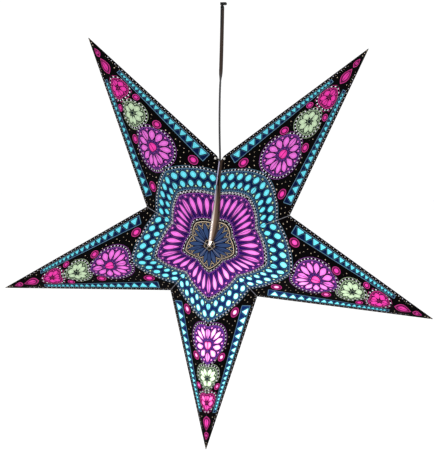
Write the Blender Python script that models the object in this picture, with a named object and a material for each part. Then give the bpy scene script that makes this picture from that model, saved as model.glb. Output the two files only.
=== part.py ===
"""Five-pointed folding paper star lantern with its lamp, in metres, +Z up, front facing -Y.

The star is twenty flat paper facets. Each arm is one folded sheet with a ridge crease in front and
behind and a crease along each side, and neighbouring arms are glued together at their inner seams.
One seam, at the top, is only tied, so that the star can be opened for the lamp. The star hangs from
its flex, a little crooked, and the origin is the middle of the top fitting's flat upper face.
"""

import math

import bmesh
import bpy
import numpy as np
from mathutils import Vector

# The star: places of its tips, notches and apexes, measured from the middle of the star
ARMS = 5
TIP_R = 0.3155
NOTCH_R = 0.1032
HALF_DEPTH = 0.0910
PAPER = 0.0005
HANG_ROLL = math.radians(2.8)
FIRST_ARM_DEG = 54

# Creases and seams: the slits between neighbouring facets, and how far a ridge closes when folded
CREASE_GAP = 0.0004
OPEN_CREASE_GAP = 0.0012
RIDGE_FOLD = math.radians(20)
SEAT_GAP = 0.0003
CUT_OVERRUN = 0.002

# The tied seam: its slit widens towards the middle of the star, over the tucked flap, which dips
# inwards so that the first arm passes over it when the seam is opened
CLOSING_GAPE = 0.0070
NOTCH_TRIM = 0.0032
FLAP_WIDE = 0.0140
FLAP_NARROW = 0.0090
FLAP_CREASE_SHARES = (0.05, 0.66)
FLAP_FREE_SHARES = (0.24, 0.58)
FLAP_DIP = math.radians(24)

# The glued flanges inside the other seams
RIB_DEPTH = 0.0080
RIB_SHARES = (0.10, 0.90)

# The ties: a stop knot outside, a hole, and a run of string to the flex
TIE_FROM_NOTCH = 0.0092
TIE_HOLE_D = 0.0026
TIE_D = 0.0014
TIE_KNOT_D = 0.0034
TIE_DROP = 0.0035

# The top fitting: a bar with a toe to one side, and a clamp that swings under it
BAR_LEFT = 0.0026
BAR_RIGHT = 0.0059
BAR_HEIGHT = 0.0032
BAR_DEEP = 0.0052
BAR_EDGE = 0.0005
CLAMP_WIDE = 0.0046
CLAMP_TALL = 0.0044
CLAMP_DEEP = 0.0046

# The flex, a flat twin lead, and the place of the star under the fitting
FLEX_WIDE = 0.0050
FLEX_SEGMENTS = 54
STAR_DROP = 0.3055
STAR_ASIDE = 0.0077
LAMP_ASIDE = 0.0035
LAMP_DROP = 0.0205

# The lamp holder, from its cord grip down
GRIP_R = 0.0046
GRIP_TALL = 0.0060
HOLDER_R = 0.0140
CAP_TOP_R = 0.0068
CAP_TALL = 0.0180
CAP_SKIRT_SHARE = 0.30
CAP_WALL = 0.0016
BODY_TALL = 0.0345
BORE_R = 0.0082
BORE_DEEP = 0.0270
LINER_WALL = 0.0006
LINER_TALL = 0.0200
CONTACT_R = 0.0030
CONTACT_THICK = 0.0008

# The bulb: an E14 screw base and a 45 mm globe
BASE_R = 0.0068
BASE_TALL = 0.0240
BASE_BUTTON_R = 0.0024
BASE_BUTTON_TALL = 0.0022
THREAD_TURNS = 4
THREAD_DEPTH = 0.0004
GLOBE_R = 0.0225
NECK_R = 0.0072
NECK_TALL = 0.0060
GLASS_WALL = 0.0012

ROUND_STEPS = 40
SHOULDER_STEPS = 6
SMOOTH_BELOW = math.radians(35)
WELD = 0.000005


def unit(vector):
    return vector / np.linalg.norm(vector)


def on_middle_plane(radius, degrees):
    """A point of the star's middle plane, in the star's own frame."""
    angle = math.radians(degrees)
    return np.array([radius * math.cos(angle), 0.0, radius * math.sin(angle)])


def half_angle(start, end, one_side, other_side):
    """Half of the angle between two facets that meet along start to end."""
    along = unit(end - start)
    first = unit((one_side - start) - np.dot(one_side - start, along) * along)
    second = unit((other_side - start) - np.dot(other_side - start, along) * along)
    return math.acos(np.dot(first, second)) / 2


def make_material(name, colour, roughness, metallic=0.0):
    material = bpy.data.materials.new(name)
    material.use_nodes = True
    shader = material.node_tree.nodes["Principled BSDF"]
    shader.inputs["Base Color"].default_value = (*colour, 1.0)
    shader.inputs["Roughness"].default_value = roughness
    shader.inputs["Metallic"].default_value = metallic
    return material


def add_empty(name, location, roll=0.0, parent=None):
    empty = bpy.data.objects.new(name, None)
    empty.empty_display_size = GLOBE_R
    empty.location = location
    empty.rotation_euler = (0.0, roll, 0.0)
    empty.parent = parent
    bpy.context.collection.objects.link(empty)
    return empty


def add_mesh(name, bm, material, parent, location=(0.0, 0.0, 0.0), smooth=False):
    bmesh.ops.recalc_face_normals(bm, faces=bm.faces)
    mesh = bpy.data.meshes.new(name)
    bm.to_mesh(mesh)
    bm.free()
    mesh.materials.append(material)
    if smooth:
        mesh.shade_smooth()
        mesh.set_sharp_from_angle(angle=SMOOTH_BELOW)
    obj = bpy.data.objects.new(name, mesh)
    obj.parent = parent
    obj.location = location
    bpy.context.collection.objects.link(obj)
    return obj


def slab(top, bottom):
    """A closed plate between two rings of as many corners each."""
    bm = bmesh.new()
    rings = [[bm.verts.new(point) for point in ring] for ring in (top, bottom)]
    bm.faces.new(rings[0])
    bm.faces.new(rings[1][::-1])
    for i in range(len(top)):
        j = (i + 1) % len(top)
        bm.faces.new((rings[0][j], rings[0][i], rings[1][i], rings[1][j]))
    return bm


def turned(profile):
    """A closed solid of revolution about Z, from (radius, height) points that close on themselves."""
    bm = bmesh.new()
    verts = [bm.verts.new((radius, 0.0, height)) for radius, height in profile]
    edges = [bm.edges.new((verts[i], verts[(i + 1) % len(verts)])) for i in range(len(verts))]
    bmesh.ops.spin(
        bm,
        geom=verts + edges,
        axis=(0.0, 0.0, 1.0),
        cent=(0.0, 0.0, 0.0),
        angle=2 * math.pi,
        steps=ROUND_STEPS,
    )
    bmesh.ops.remove_doubles(bm, verts=bm.verts, dist=WELD)
    return bm


class Facet:
    """One flat paper triangle of the star, from an apex to a tip and a notch, in the star's frame."""

    def __init__(self, arm, side, half):
        self.arm, self.side, self.half = arm, side, half
        self.name = f"arm_{arm}_{side}_{half}"
        axis_deg = FIRST_ARM_DEG - (arm - 1) * 360 / ARMS
        turn = 180 / ARMS if half == "first" else -180 / ARMS
        depth = -HALF_DEPTH if side == "front" else HALF_DEPTH
        self.apex = np.array([0.0, depth, 0.0])
        self.tip = on_middle_plane(TIP_R, axis_deg)
        self.notch = on_middle_plane(NOTCH_R, axis_deg + turn)
        self.other_notch = on_middle_plane(NOTCH_R, axis_deg - turn)
        self.next_tip = on_middle_plane(TIP_R, axis_deg + 2 * turn)
        normal = unit(np.cross(self.tip - self.apex, self.notch - self.apex))
        self.outward = normal * np.sign(np.dot(normal, self.apex))
        self.closing = (arm, half) in ((1, "first"), (ARMS, "second"))

    def into(self, start, end, inside):
        """The direction in the facet's plane, square to an edge, that points into the facet."""
        along = unit(end - start)
        return unit((inside - start) - np.dot(inside - start, along) * along)

    def side_plane(self, start, end, inside, half, gaps):
        """Normal and offset of the plane that cuts the facet back along one crease."""
        inward = self.into(start, end, inside)
        from_point = start + inward * gaps[0]
        to_point = end + inward * gaps[1]
        inward = self.into(from_point, to_point, inside)
        normal = inward * math.sin(half) + self.outward * math.cos(half)
        return normal, np.dot(normal, from_point)

    def planes(self):
        """The planes round the facet, in order: ridge, side crease, any trimmed notch, seam."""
        front = self.side == "front"
        ridge = half_angle(self.apex, self.tip, self.notch, self.other_notch) - RIDGE_FOLD / 2
        edge = half_angle(self.tip, self.notch, self.apex, -self.apex)
        seam = math.pi - half_angle(self.apex, self.notch, self.tip, self.next_tip)
        tight, loose = CREASE_GAP / 2, OPEN_CREASE_GAP / 2
        hinged = tight if front else loose
        seam_gaps = (hinged, hinged)
        if self.closing:
            seam_gaps = (loose + CLOSING_GAPE, loose) if self.arm == 1 else (loose, loose)
        result = [
            self.side_plane(self.apex, self.tip, self.notch, ridge, (hinged, hinged)),
            self.side_plane(self.tip, self.notch, self.apex, edge, (tight, tight)),
        ]
        if self.closing:
            bisector = self.notch_bisector()
            result.append((bisector, np.dot(bisector, self.notch) + NOTCH_TRIM))
        result.append(self.side_plane(self.notch, self.apex, self.tip, seam, seam_gaps[::-1]))
        return result

    def notch_bisector(self):
        return unit(unit(self.tip - self.notch) + unit(self.apex - self.notch))

    def ring(self, depth):
        """The facet's corners on its outer face, or on a plane that far inside it."""
        face = (self.outward, np.dot(self.outward, self.apex) - depth)
        planes = self.planes()
        corners = []
        for i, plane in enumerate(planes):
            trio = (plane, planes[(i + 1) % len(planes)], face)
            corners.append(np.linalg.solve([p[0] for p in trio], [p[1] for p in trio]))
        return corners

    def tie_hole(self):
        """The middle of the hole for the tie, on the facet's outer face."""
        return self.notch + self.notch_bisector() * TIE_FROM_NOTCH

    def pivot(self):
        """A point on the crease that the facet turns about: its apex in front, its tip behind."""
        return self.apex if self.side == "front" else self.tip

    def build(self, star, material):
        pivot = self.pivot()
        top = [corner - pivot for corner in self.ring(0.0)]
        bottom = [corner - pivot for corner in self.ring(PAPER)]
        return add_mesh(self.name, slab(top, bottom), material, star, pivot)


def add_tie_hole(obj, facet):
    """Cuts the small round hole that a tie passes through."""
    centre = facet.tie_hole()
    bm = bmesh.new()
    bmesh.ops.create_cone(
        bm,
        cap_ends=True,
        segments=ROUND_STEPS // 2,
        radius1=TIE_HOLE_D / 2,
        radius2=TIE_HOLE_D / 2,
        depth=2 * CUT_OVERRUN,
    )
    cutter = add_mesh(f"{obj.name}_hole_cutter", bm, obj.data.materials[0], obj.parent, centre)
    cutter.rotation_euler = Vector(facet.outward).to_track_quat("Z", "Y").to_euler()
    cutter.hide_render = True
    cutter.display_type = "WIRE"
    cut = obj.modifiers.new("tie_hole", "BOOLEAN")
    cut.operation = "DIFFERENCE"
    cut.solver = "EXACT"
    cut.object = cutter


def add_rib(name, facet, star, material):
    """The two glued flanges behind a seam, as one doubled strip on the seam's bisecting plane."""
    across = unit(np.cross(facet.notch - facet.apex, facet.apex))
    along = facet.notch - facet.apex
    inward = -unit(facet.apex + facet.notch)
    inward = unit(inward - np.dot(inward, unit(along)) * unit(along))
    half = half_angle(facet.apex, facet.notch, facet.tip, facet.next_tip)
    start = PAPER / math.sin(half) + SEAT_GAP
    near = [facet.apex + share * along + inward * start for share in RIB_SHARES]
    slant = RIB_DEPTH * unit(along)
    far = [near[1] - slant + inward * RIB_DEPTH, near[0] + slant + inward * RIB_DEPTH]
    corners = [near[0], near[1], far[0], far[1]]
    top = [corner - facet.apex + across * PAPER for corner in corners]
    bottom = [corner - facet.apex - across * PAPER for corner in corners]
    return add_mesh(name, slab(top, bottom), material, star, facet.apex)


def add_flap(name, facet, star, material):
    """The closing flap, which starts at the tied seam and dips under the first arm's facet."""
    along = facet.notch - facet.apex
    level = facet.into(facet.apex, facet.notch, facet.tip)
    width = level * math.cos(FLAP_DIP) - facet.outward * math.sin(FLAP_DIP)
    under_crease = -SEAT_GAP * (level + facet.outward)
    corners = [
        facet.apex + FLAP_CREASE_SHARES[0] * along,
        facet.apex + FLAP_CREASE_SHARES[1] * along,
        facet.apex + FLAP_FREE_SHARES[1] * along + width * FLAP_NARROW,
        facet.apex + FLAP_FREE_SHARES[0] * along + width * FLAP_WIDE,
    ]
    outward = unit(np.cross(width, along))
    outward *= np.sign(np.dot(outward, facet.outward))
    top = [corner + under_crease - facet.apex for corner in corners]
    bottom = [corner - outward * PAPER for corner in top]
    return add_mesh(name, slab(top, bottom), material, star, facet.apex)


def tube(name, points, radii, material, parent=None):
    """A round cord along points of a smooth curve, with filled ends."""
    curve = bpy.data.curves.new(name, "CURVE")
    curve.dimensions = "3D"
    curve.bevel_depth = 1.0
    curve.bevel_resolution = 2
    curve.use_fill_caps = True
    spline = curve.splines.new("POLY")
    spline.points.add(len(points) - 1)
    for i, (point, radius) in enumerate(zip(points, radii)):
        spline.points[i].co = (*point, 1.0)
        spline.points[i].radius = radius
    curve.materials.append(material)
    obj = bpy.data.objects.new(name, curve)
    obj.parent = parent
    bpy.context.collection.objects.link(obj)
    return obj


def smooth_route(points, count):
    """Points read evenly from a Catmull-Rom curve through the route's own points."""
    points = np.array(points, float)
    ends = np.vstack([2 * points[0] - points[1], points, 2 * points[-1] - points[-2]])
    fine = []
    for i in range(len(points) - 1):
        p0, p1, p2, p3 = ends[i : i + 4]
        for t in np.linspace(0.0, 1.0, count, endpoint=False):
            fine.append(
                (2 * p1 + (p2 - p0) * t + (2 * p0 - 5 * p1 + 4 * p2 - p3) * t**2
                 + (3 * p1 - p0 - 3 * p2 + p3) * t**3) / 2
            )
    fine = np.array(fine + [points[-1]])
    run = np.concatenate([[0.0], np.cumsum(np.linalg.norm(np.diff(fine, axis=0), axis=1))])
    places = np.linspace(0.0, run[-1], count)
    return np.stack([np.interp(places, run, fine[:, k]) for k in range(3)], axis=1), run[-1]


def add_tie(name, facet, star, material, flex_side):
    """A length of string with a stop knot outside the paper, led through its hole to the flex."""
    hole = facet.tie_hole()
    out = facet.outward
    knot_top = hole + out * (SEAT_GAP + TIE_KNOT_D)
    under = hole - out * TIE_DROP
    end = np.array([flex_side * (FLEX_WIDE / 2 + TIE_D / 2 + SEAT_GAP), 0.0, under[2] - TIE_DROP])
    route = [
        knot_top,
        hole + out * (SEAT_GAP + TIE_KNOT_D / 2),
        hole + out * SEAT_GAP,
        hole,
        under,
        (under + end) / 2 - np.array([0.0, 0.0, TIE_DROP / 2]),
        end,
    ]
    radii = [TIE_D / 2, TIE_KNOT_D / 2, TIE_D / 2, TIE_D / 2, TIE_D / 2, TIE_D / 2, TIE_D / 2]
    return tube(name, route, radii, material, star)


def add_bar(material):
    """The top fitting's bar: flat above, with a round toe at its right end."""
    radius = BAR_HEIGHT / 2
    toe = [
        (BAR_RIGHT - radius + radius * math.sin(a), -radius + radius * math.cos(a))
        for a in np.linspace(0.0, math.pi, ROUND_STEPS // 4)
    ]
    outline = [(-BAR_LEFT, 0.0), *toe, (-BAR_LEFT, -BAR_HEIGHT)]
    top = [(x, -BAR_DEEP / 2, z) for x, z in outline]
    bottom = [(x, BAR_DEEP / 2, z) for x, z in outline]
    return add_mesh("ceiling_bar", slab(top, bottom), material, None)


def add_clamp(material):
    """The clamp on the end of the flex: round above, about the line that it swings on."""
    radius = CLAMP_WIDE / 2
    pivot_z = -BAR_HEIGHT - SEAT_GAP - radius
    crown = [
        (-radius * math.cos(a), radius * math.sin(a))
        for a in np.linspace(0.0, math.pi, ROUND_STEPS // 2)
    ]
    foot = -CLAMP_TALL + radius
    outline = [*crown, (radius, foot), (-radius, foot)]
    top = [(x, -CLAMP_DEEP / 2, z) for x, z in outline]
    bottom = [(x, CLAMP_DEEP / 2, z) for x, z in outline]
    swing = add_empty("swing_axis", (0.0, 0.0, pivot_z))
    return add_mesh("cord_clamp", slab(top, bottom), material, swing)


def add_lamp(lamp, materials):
    """The lamp holder and its bulb, stacked down from the flex's end along one upright axis."""
    grip_foot = -GRIP_TALL
    grip = [
        (0.0, 0.0),
        (GRIP_R - BAR_EDGE, 0.0),
        (GRIP_R, -BAR_EDGE),
        (GRIP_R, grip_foot),
        (0.0, grip_foot),
    ]
    cap_top = grip_foot - SEAT_GAP
    cap_foot = cap_top - CAP_TALL
    skirt = CAP_TALL * CAP_SKIRT_SHARE
    shoulder = [
        (
            CAP_TOP_R + (HOLDER_R - CAP_TOP_R) * math.sin(a),
            cap_foot + skirt + (CAP_TALL - skirt) * math.cos(a),
        )
        for a in np.linspace(0.0, math.pi / 2, SHOULDER_STEPS)
    ]
    inner = [(radius - CAP_WALL, height - CAP_WALL) for radius, height in shoulder]
    cap = [(0.0, cap_top), *shoulder, (HOLDER_R, cap_foot), (HOLDER_R - CAP_WALL, cap_foot)]
    cap += [*inner[::-1], (0.0, cap_top - CAP_WALL)]
    body_top = cap_foot - SEAT_GAP
    body_foot = body_top - BODY_TALL
    bore_top = body_foot + BORE_DEEP
    body = [
        (0.0, body_top),
        (HOLDER_R - BAR_EDGE, body_top),
        (HOLDER_R, body_top - BAR_EDGE),
        (HOLDER_R, body_foot + BAR_EDGE),
        (HOLDER_R - BAR_EDGE, body_foot),
        (BORE_R, body_foot),
        (BORE_R, bore_top),
        (0.0, bore_top),
    ]
    liner_top = bore_top - SEAT_GAP
    liner_out = BORE_R - SEAT_GAP
    liner = [
        (liner_out, liner_top),
        (liner_out, liner_top - LINER_TALL),
        (liner_out - LINER_WALL, liner_top - LINER_TALL),
        (liner_out - LINER_WALL, liner_top),
    ]
    contact_top = bore_top - SEAT_GAP
    contact_foot = contact_top - CONTACT_THICK
    contact = [
        (0.0, contact_top),
        (CONTACT_R, contact_top),
        (CONTACT_R, contact_foot),
        (0.0, contact_foot),
    ]
    add_turned("cord_grip", grip, materials["plastic"], lamp)
    add_turned("holder_cap", cap, materials["plastic"], lamp)
    add_turned("holder_body", body, materials["plastic"], lamp)
    add_turned("screw_liner", liner, materials["brass"], lamp)
    add_turned("centre_contact", contact, materials["brass"], lamp)
    bulb = add_empty("bulb_axis", (0.0, 0.0, contact_foot - SEAT_GAP), parent=lamp)
    add_bulb(bulb, materials)


def add_turned(name, profile, material, parent):
    return add_mesh(name, turned(profile), material, parent, smooth=True)


def add_bulb(bulb, materials):
    thread_top = -BASE_BUTTON_TALL
    pitch = (BASE_TALL - 2 * BASE_BUTTON_TALL) / THREAD_TURNS / 2
    thread = [
        (BASE_R - (THREAD_DEPTH if i % 2 else 0.0), thread_top - BASE_BUTTON_TALL - i * pitch)
        for i in range(2 * THREAD_TURNS)
    ]
    base = [(0.0, 0.0), (BASE_BUTTON_R, 0.0), (BASE_BUTTON_R, thread_top), *thread]
    base += [(BASE_R, -BASE_TALL), (0.0, -BASE_TALL)]
    neck_top = -BASE_TALL - SEAT_GAP
    neck_foot = neck_top - NECK_TALL
    meet = math.asin(NECK_R / GLOBE_R)
    middle = neck_foot - GLOBE_R * math.cos(meet)
    globe = [
        (GLOBE_R * math.sin(a), middle + GLOBE_R * math.cos(a))
        for a in np.linspace(meet, math.pi, ROUND_STEPS // 2)
    ]
    hollow_r = GLOBE_R - GLASS_WALL
    hollow_meet = math.asin((NECK_R - GLASS_WALL) / hollow_r)
    hollow = [
        (hollow_r * math.sin(a), middle + hollow_r * math.cos(a))
        for a in np.linspace(math.pi, hollow_meet, ROUND_STEPS // 2)
    ]
    globe[-1] = (0.0, middle - GLOBE_R)
    hollow[0] = (0.0, middle - hollow_r)
    glass = [(NECK_R, neck_top), *globe, *hollow, (NECK_R - GLASS_WALL, neck_top)]
    add_turned("bulb_base", base, materials["nickel"], bulb)
    add_turned("bulb_glass", glass, materials["glass"], bulb)


def main():
    for obj in list(bpy.data.objects):
        bpy.data.objects.remove(obj, do_unlink=True)
    materials = {
        "plastic": make_material("black_plastic", (0.02, 0.02, 0.022), 0.45),
        "brass": make_material("brass", (0.78, 0.60, 0.28), 0.30, 1.0),
        "nickel": make_material("nickelled_base", (0.70, 0.68, 0.64), 0.28, 1.0),
        "glass": make_material("opal_glass", (0.95, 0.93, 0.88), 0.15),
        "flex": make_material("brown_flex", (0.13, 0.075, 0.06), 0.42),
        "string": make_material("white_string", (0.82, 0.80, 0.76), 0.85),
        "rib": make_material("unprinted_flange", (0.46, 0.36, 0.30), 0.85),
    }
    prints = {
        "front": make_material("printed_paper_front", (0.16, 0.09, 0.24), 0.70),
        "back": make_material("printed_paper_back", (0.14, 0.08, 0.22), 0.72),
    }

    add_bar(materials["plastic"])
    add_clamp(materials["plastic"])
    star = add_empty("star_frame", (-STAR_ASIDE, 0.0, -STAR_DROP), HANG_ROLL)

    facets = {}
    for arm in range(1, ARMS + 1):
        for side in ("front", "back"):
            for half in ("first", "second"):
                facet = Facet(arm, side, half)
                facets[facet.name] = facet
                obj = facet.build(star, prints[side])
                if facet.closing and side == "front":
                    flex_side = 1 if arm == 1 else -1
                    name = "tie_right" if arm == 1 else "tie_left"
                    add_tie(name, facet, star, materials["string"], flex_side)
                    add_tie_hole(obj, facet)

    for arm in range(1, ARMS):
        for side in ("front", "back"):
            facet = facets[f"arm_{arm}_{side}_second"]
            add_rib(f"seam_rib_{arm}_{arm + 1}_{side}", facet, star, materials["rib"])
    for side in ("front", "back"):
        add_flap(f"closing_flap_{side}", facets[f"arm_1_{side}_first"], star, materials["rib"])

    lamp_top = -STAR_DROP + NOTCH_R * math.cos(HANG_ROLL) - LAMP_DROP
    flex_top = -BAR_HEIGHT - SEAT_GAP - CLAMP_TALL - SEAT_GAP
    flex_route = [
        (0.0, 0.0, flex_top),
        (-0.0002, 0.0, -0.020),
        (-0.0006, 0.0, -0.040),
        (-0.0012, 0.0, -0.065),
        (-0.0019, 0.0, -0.088),
        (-0.0030, 0.0, -0.110),
        (-0.0035, 0.0, -0.135),
        (-0.0036, 0.0, -0.160),
        (-0.0033, 0.0, -0.182),
        (-0.0029, 0.0, -0.202),
        (-0.0032, 0.0, -0.213),
        (-LAMP_ASIDE, 0.0, lamp_top + SEAT_GAP),
    ]
    points, length = smooth_route(flex_route, FLEX_SEGMENTS)
    tube("flex", points, [FLEX_WIDE / 2] * len(points), materials["flex"])
    print(f"flex: {length:.4f} m from the clamp to the lamp holder")
    lamp = add_empty("lamp_frame", (-LAMP_ASIDE, 0.0, lamp_top))
    add_lamp(lamp, materials)


main()
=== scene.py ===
"""Paper star lantern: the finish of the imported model, piece by piece, in the order it is put together.

Everything is in metres in the model's own frame: +Z up, the front of the star towards -Y, and the
origin in the middle of the top fitting's flat upper face.
"""

import math

import bpy
import numpy as np
from mathutils import Matrix, Vector


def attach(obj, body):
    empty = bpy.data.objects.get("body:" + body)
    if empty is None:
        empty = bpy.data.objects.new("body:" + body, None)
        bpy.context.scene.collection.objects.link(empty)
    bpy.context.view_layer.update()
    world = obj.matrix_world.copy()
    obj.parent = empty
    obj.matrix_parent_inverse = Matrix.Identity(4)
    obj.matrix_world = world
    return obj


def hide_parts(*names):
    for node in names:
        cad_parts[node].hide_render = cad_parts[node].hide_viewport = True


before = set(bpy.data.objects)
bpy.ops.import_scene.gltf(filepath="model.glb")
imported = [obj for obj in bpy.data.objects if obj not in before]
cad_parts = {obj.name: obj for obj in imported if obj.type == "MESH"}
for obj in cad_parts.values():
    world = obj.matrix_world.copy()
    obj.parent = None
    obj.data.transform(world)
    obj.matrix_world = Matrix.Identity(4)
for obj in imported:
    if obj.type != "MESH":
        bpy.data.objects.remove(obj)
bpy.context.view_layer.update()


# The viewpoint
# The photograph was taken from a little to the right of and above the middle of the star, with a
# normal lens and no roll. The star fills the picture, with the top of its flex at the upper edge.
# The photograph is a plain display picture, so the colours are shown without a film curve.

CAMERA_PLACE = (0.0863, -0.9302, -0.1578)
CAMERA_RIGHT = (0.99500, 0.09983, 0.0)
CAMERA_UP = (-0.01472, 0.14672, 0.98907)
CAMERA_BACK = (0.09874, -0.98413, 0.14746)
SENSOR_MM = 36.0
LENS_MM = 54.58
NEAREST_SEEN = 0.01

camera = bpy.data.objects.new("camera", bpy.data.cameras.new("camera"))
camera.data.sensor_width = SENSOR_MM
camera.data.lens = LENS_MM
camera.data.clip_start = NEAREST_SEEN
bpy.context.collection.objects.link(camera)
turn = Matrix((CAMERA_RIGHT, CAMERA_UP, CAMERA_BACK)).transposed()
camera.matrix_world = Matrix.LocRotScale(CAMERA_PLACE, turn.to_quaternion(), None)
bpy.context.scene.camera = camera
bpy.context.scene.view_settings.view_transform = "Standard"


# The flex
# A flat twin lead: two round cores side by side in one sheath, 5.0 by 2.5 mm, brown. Its left half is
# painted black as shade where it leaves the clamp. It turns a quarter round on its way down, so that its
# flat side shows above and its edge below, which is painted grey-black as shade. It runs from the clamp to
# the lamp holder's cord grip.

FLEX_ROUTE = (
    (0.0, 0.0, -0.0082),
    (-0.0002, 0.0, -0.020),
    (-0.0006, 0.0, -0.040),
    (-0.0012, 0.0, -0.065),
    (-0.0019, 0.0, -0.088),
    (-0.0030, 0.0, -0.110),
    (-0.0035, 0.0, -0.135),
    (-0.0036, 0.0, -0.160),
    (-0.0033, 0.0, -0.182),
    (-0.0029, 0.0, -0.202),
    (-0.0032, 0.0, -0.213),
    (-0.0035, 0.0, -0.22262),
)
FLEX_WIDE = 0.0050
CORE_R = 0.00125
QUARTER_TURN = (-0.084, -0.103)
STEPS_BETWEEN = 24
FLEX_ROWS, FLEX_RING = 90, 32
# the left half of the sheath above this height is painted black as shade
SHADE_LEFT_OF, SHADE_ABOVE = -0.0003, -0.032
LEFT_SHADE_BLACK = (0.006, 0.005, 0.005)
SHEATH_BROWN = ((0.012, 0.007, 0.005), (0.032, 0.018, 0.012))
# the grey-black that the edge below the quarter turn is painted as shade
EDGE_SHADE_GREY = ((0.026, 0.026, 0.028), (0.060, 0.058, 0.060))


def smooth_line(points, count):
    """Points spread evenly on a curve through the given points: between two of them it is the cubic
    that has their places and, as slopes, half the step between their neighbours."""
    points = np.array(points, float)
    ends = np.vstack([2 * points[0] - points[1], points, 2 * points[-1] - points[-2]])
    t = np.linspace(0.0, 1.0, STEPS_BETWEEN, endpoint=False)[:, None]
    pieces = [
        (2 * b + (c - a) * t + (2 * a - 5 * b + 4 * c - d) * t**2 + (3 * b - a - 3 * c + d) * t**3) / 2
        for a, b, c, d in zip(ends[:-3], ends[1:-2], ends[2:-1], ends[3:])
    ]
    fine = np.vstack([*pieces, points[-1:]])
    run = np.concatenate([[0.0], np.cumsum(np.linalg.norm(np.diff(fine, axis=0), axis=1))])
    places = np.linspace(0.0, run[-1], count)
    return np.stack([np.interp(places, run, fine[:, k]) for k in range(3)], axis=1), run[-1]


def link_mesh(name, points, face_groups, smooth=True):
    """A new object at the origin, with its place in its mesh. The faces come in groups, each an array
    of point numbers with one row for a face."""
    mesh = bpy.data.meshes.new(name)
    faces = [face for group in face_groups for face in np.asarray(group).tolist()]
    mesh.from_pydata(np.asarray(points).tolist(), [], faces)
    if smooth:
        mesh.shade_smooth()
    mesh.update()
    piece = bpy.data.objects.new(name, mesh)
    bpy.context.collection.objects.link(piece)
    return piece


def strand(name, line, section, turns):
    """A surface swept along a line: point (i, j) is the i-th place of the line plus the j-th point of
    the section, which has been turned about the line by turns[i] radians from the X axis."""
    along = np.gradient(line, axis=0)
    along /= np.linalg.norm(along, axis=1)[:, None]
    across = np.array([1.0, 0.0, 0.0]) - along * along[:, :1]
    across /= np.linalg.norm(across, axis=1)[:, None]
    deep = np.cross(along, across)
    cos, sin = np.cos(turns)[:, None], np.sin(turns)[:, None]
    first, second = across * cos + deep * sin, deep * cos - across * sin
    points = line[:, None] + section[:, :1] * first[:, None] + section[:, 1:] * second[:, None]
    rows, ring = points.shape[:2]
    index = np.arange(rows * ring).reshape(rows, ring)
    onward = np.roll(index, -1, axis=1)
    sides = np.stack([index[:-1], onward[:-1], onward[1:], index[1:]], axis=-1).reshape(-1, 4)
    return link_mesh(name, points.reshape(-1, 3), [sides, index[:1, ::-1], index[-1:]])


class Finish:
    """One material under way. Each method adds a node and returns the output that it makes."""

    def __init__(self, name, roughness, specular=0.5, metallic=0.0):
        self.material = bpy.data.materials.new(name)
        self.material.use_nodes = True
        self.tree = self.material.node_tree
        self.shader = self.tree.nodes["Principled BSDF"]
        self.shader.inputs["Roughness"].default_value = roughness
        self.shader.inputs["Specular IOR Level"].default_value = specular
        self.shader.inputs["Metallic"].default_value = metallic

    def node(self, kind, inputs, output=0, **settings):
        """Any node. An input that is another node's output is linked, and any other value is set."""
        node = self.tree.nodes.new(kind)
        for key, value in settings.items():
            setattr(node, key, value)
        for key, value in inputs.items():
            if isinstance(value, bpy.types.NodeSocket):
                self.tree.links.new(value, node.inputs[key])
            else:
                node.inputs[key].default_value = value
        return node.outputs[output]

    def math(self, operation, a, b=0.0, c=0.0):
        """One step of arithmetic on up to three values."""
        return self.node("ShaderNodeMath", {0: a, 1: b, 2: c}, operation=operation)

    def places(self):
        """Where on the object a point is, in metres."""
        return self.node("ShaderNodeTexCoord", {}, output="Object")

    def read(self, name, output="Vector"):
        """A value that the mesh carries at its points."""
        return self.node("ShaderNodeAttribute", {}, output=output, attribute_name=name)

    def parts(self, vector):
        """The three numbers of a vector."""
        node = self.tree.nodes.new("ShaderNodeSeparateXYZ")
        self.tree.links.new(vector, node.inputs[0])
        return node.outputs

    def noise(self, vector, scale, detail=3.0, rough=0.55, output=0):
        """Smooth noise about 0.5, with scale cells to a unit and finer octaves up to the detail."""
        return self.node(
            "ShaderNodeTexNoise",
            {"Vector": vector, "Scale": scale, "Detail": detail, "Roughness": rough},
            output=output,
        )

    def below(self, value, limit, soft):
        """1 where the value is under the limit, 0 where it is over, with a soft step between."""
        return self.node(
            "ShaderNodeMapRange",
            {
                "Value": value,
                "From Min": limit - soft,
                "From Max": limit + soft,
                "To Min": 1.0,
                "To Max": 0.0,
            },
            interpolation_type="SMOOTHSTEP",
        )

    def spread(self, value, low, high, to_low, to_high):
        """The value carried in a straight line from low and high to to_low and to_high, and held at
        these beyond them."""
        return self.node(
            "ShaderNodeMapRange",
            {"Value": value, "From Min": low, "From Max": high, "To Min": to_low, "To Max": to_high},
        )

    def band(self, value, middle, half, soft):
        """1 within half of the middle, 0 further off, with a soft step between."""
        return self.below(self.math("ABSOLUTE", self.math("SUBTRACT", value, middle)), half, soft)

    def mix(self, share, a, b, blend="MIX"):
        """The first colour at share 0 and the blend with the second at share 1."""
        colours = {}
        for key, value in (("A", a), ("B", b)):
            colours[key] = value if isinstance(value, bpy.types.NodeSocket) else (*value, 1.0)
        node = self.tree.nodes.new("ShaderNodeMix")
        node.data_type = "RGBA"
        node.blend_type = blend
        sockets = {"Factor": node.inputs[0], "A": node.inputs[6], "B": node.inputs[7]}
        for key, value in {"Factor": share, **colours}.items():
            if isinstance(value, bpy.types.NodeSocket):
                self.tree.links.new(value, sockets[key])
            else:
                sockets[key].default_value = value
        return node.outputs[2]

    def put(self, name, output):
        """Feeds an output to one of the shader's inputs."""
        self.tree.links.new(output, self.shader.inputs[name])

    def bump(self, height, strength, distance):
        """A fine relief in the shading."""
        inputs = {"Height": height, "Strength": strength, "Distance": distance}
        self.put("Normal", self.node("ShaderNodeBump", inputs))


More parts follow.
